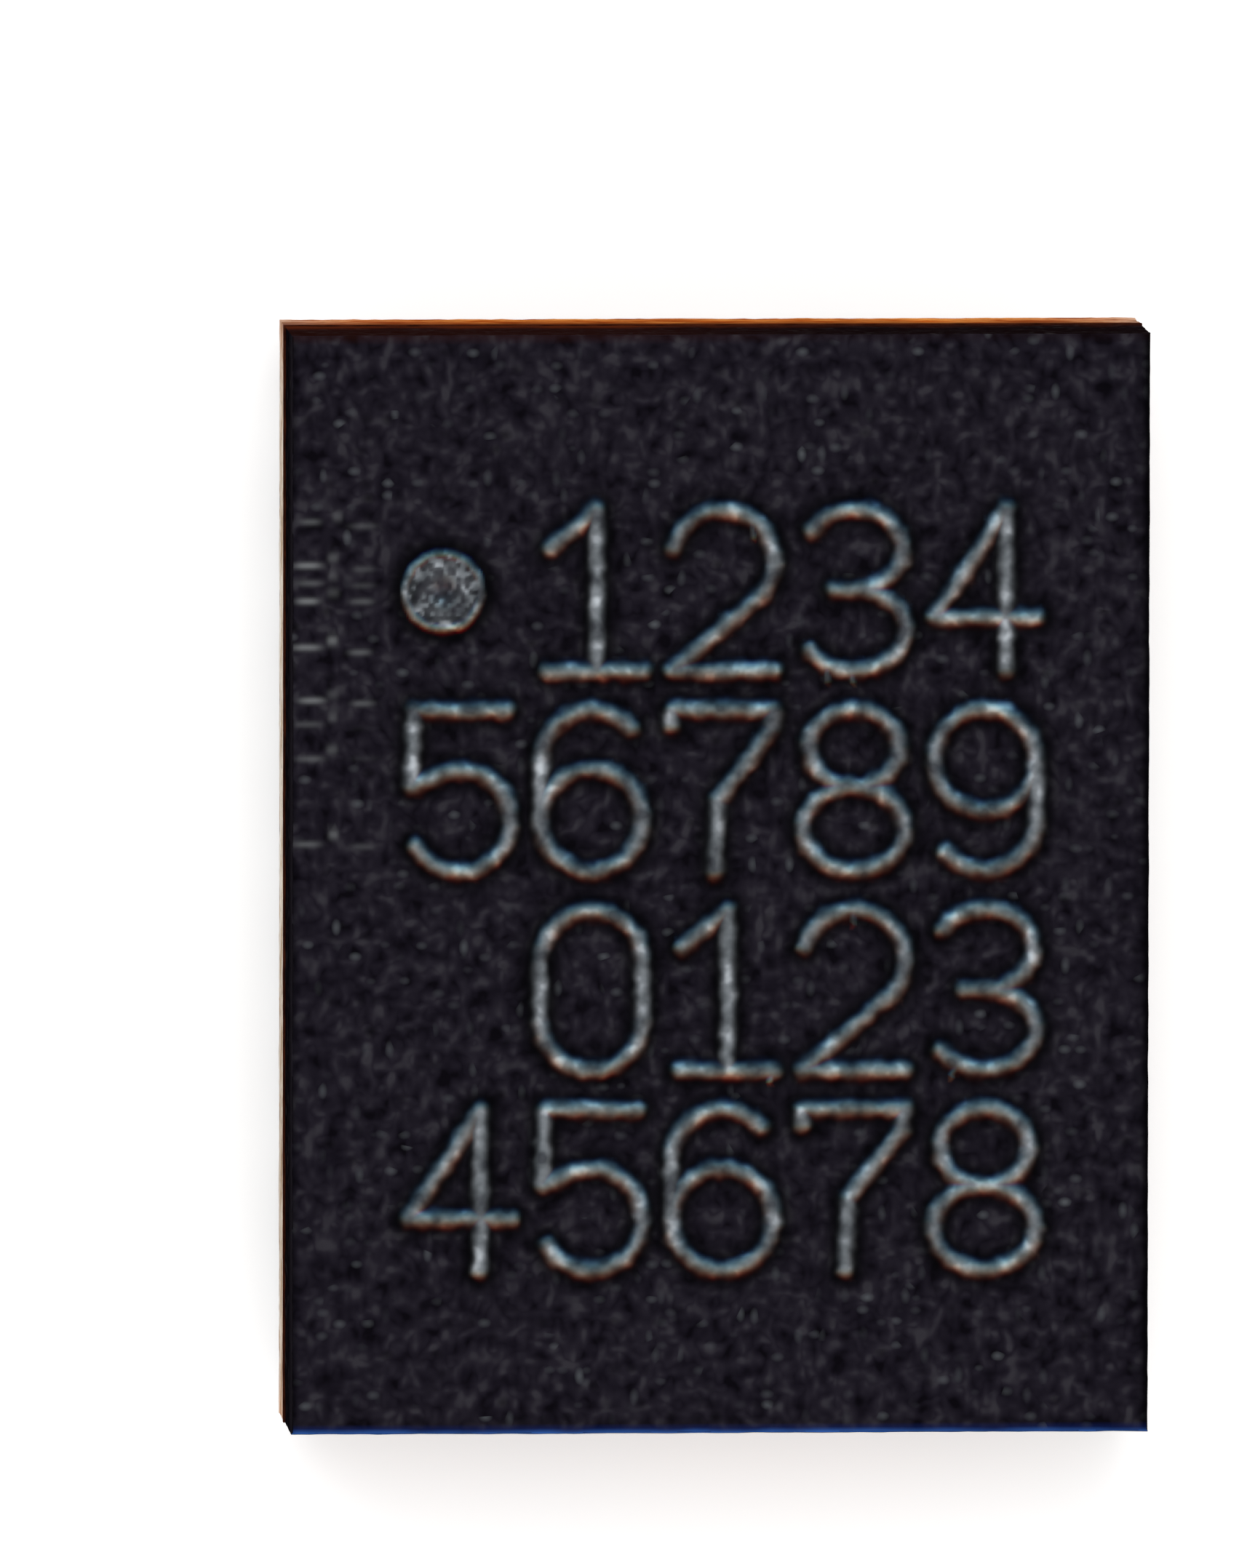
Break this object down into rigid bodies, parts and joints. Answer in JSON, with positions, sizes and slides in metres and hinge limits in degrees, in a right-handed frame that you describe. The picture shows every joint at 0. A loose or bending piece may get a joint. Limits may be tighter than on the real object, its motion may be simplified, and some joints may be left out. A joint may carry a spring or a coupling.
{
  "type": "ball grid array chip package",
  "caption": "Tiny moulded chip package: a flat black block marked on top, on a thin laminate with a full grid of silvery solder balls beneath.",
  "frame": {"origin": "on the seating plane, where the balls touch the board, under the middle of the package", "axes": "+Z out of the marked face; +Y along the long side, from ball row G to row A; +X along the short side, from column 1 to column 6, so the pin 1 dot and ball A1 are at -X, +Y"},
  "size_m": [0.0024, 0.0032, 0.0009],
  "materials": {
    "mould_compound": "charcoal epoxy mould compound, fine moulded grain",
    "silicon": "ground silicon",
    "pillar_copper": "plated copper",
    "solder": "bright reflowed tin alloy with a fine dull grain",
    "solder_mask": "dark brown mask, semi-matt",
    "copper": "etched copper foil",
    "laminate": "sawn glass-fibre laminate",
    "via_resin": "cured plug resin",
    "bare_copper": "bare plated copper"
  },
  "bodies": {
    "root": {"mold_cap": "mould_compound", "silicon_die": "silicon", "copper_pillars": "pillar_copper", "pillar_solder": "solder", "top_solder_mask": "solder_mask", "top_copper": "copper", "laminate_core": "laminate", "via_barrels": "pillar_copper", "via_plugs": "via_resin", "bottom_copper": "copper", "end_bars": "bare_copper", "bottom_solder_mask": "solder_mask", "ball_a1": "solder", "ball_a2": "solder", "ball_a3": "solder", "ball_a4": "solder", "ball_a5": "solder", "ball_a6": "solder", "ball_b1": "solder", "ball_b2": "solder", "ball_b3": "solder", "ball_b4": "solder", "ball_b5": "solder", "ball_b6": "solder", "ball_c1": "solder", "ball_c2": "solder", "ball_c3": "solder", "ball_c4": "solder", "ball_c5": "solder", "ball_c6": "solder", "ball_d1": "solder", "ball_d2": "solder", "ball_d3": "solder", "ball_d4": "solder", "ball_d5": "solder", "ball_d6": "solder", "ball_e1": "solder", "ball_e2": "solder", "ball_e3": "solder", "ball_e4": "solder", "ball_e5": "solder", "ball_e6": "solder", "ball_f1": "solder", "ball_f2": "solder", "ball_f3": "solder", "ball_f4": "solder", "ball_f5": "solder", "ball_f6": "solder", "ball_g1": "solder", "ball_g2": "solder", "ball_g3": "solder", "ball_g4": "solder", "ball_g5": "solder", "ball_g6": "solder"}
  },
  "joints": []
}
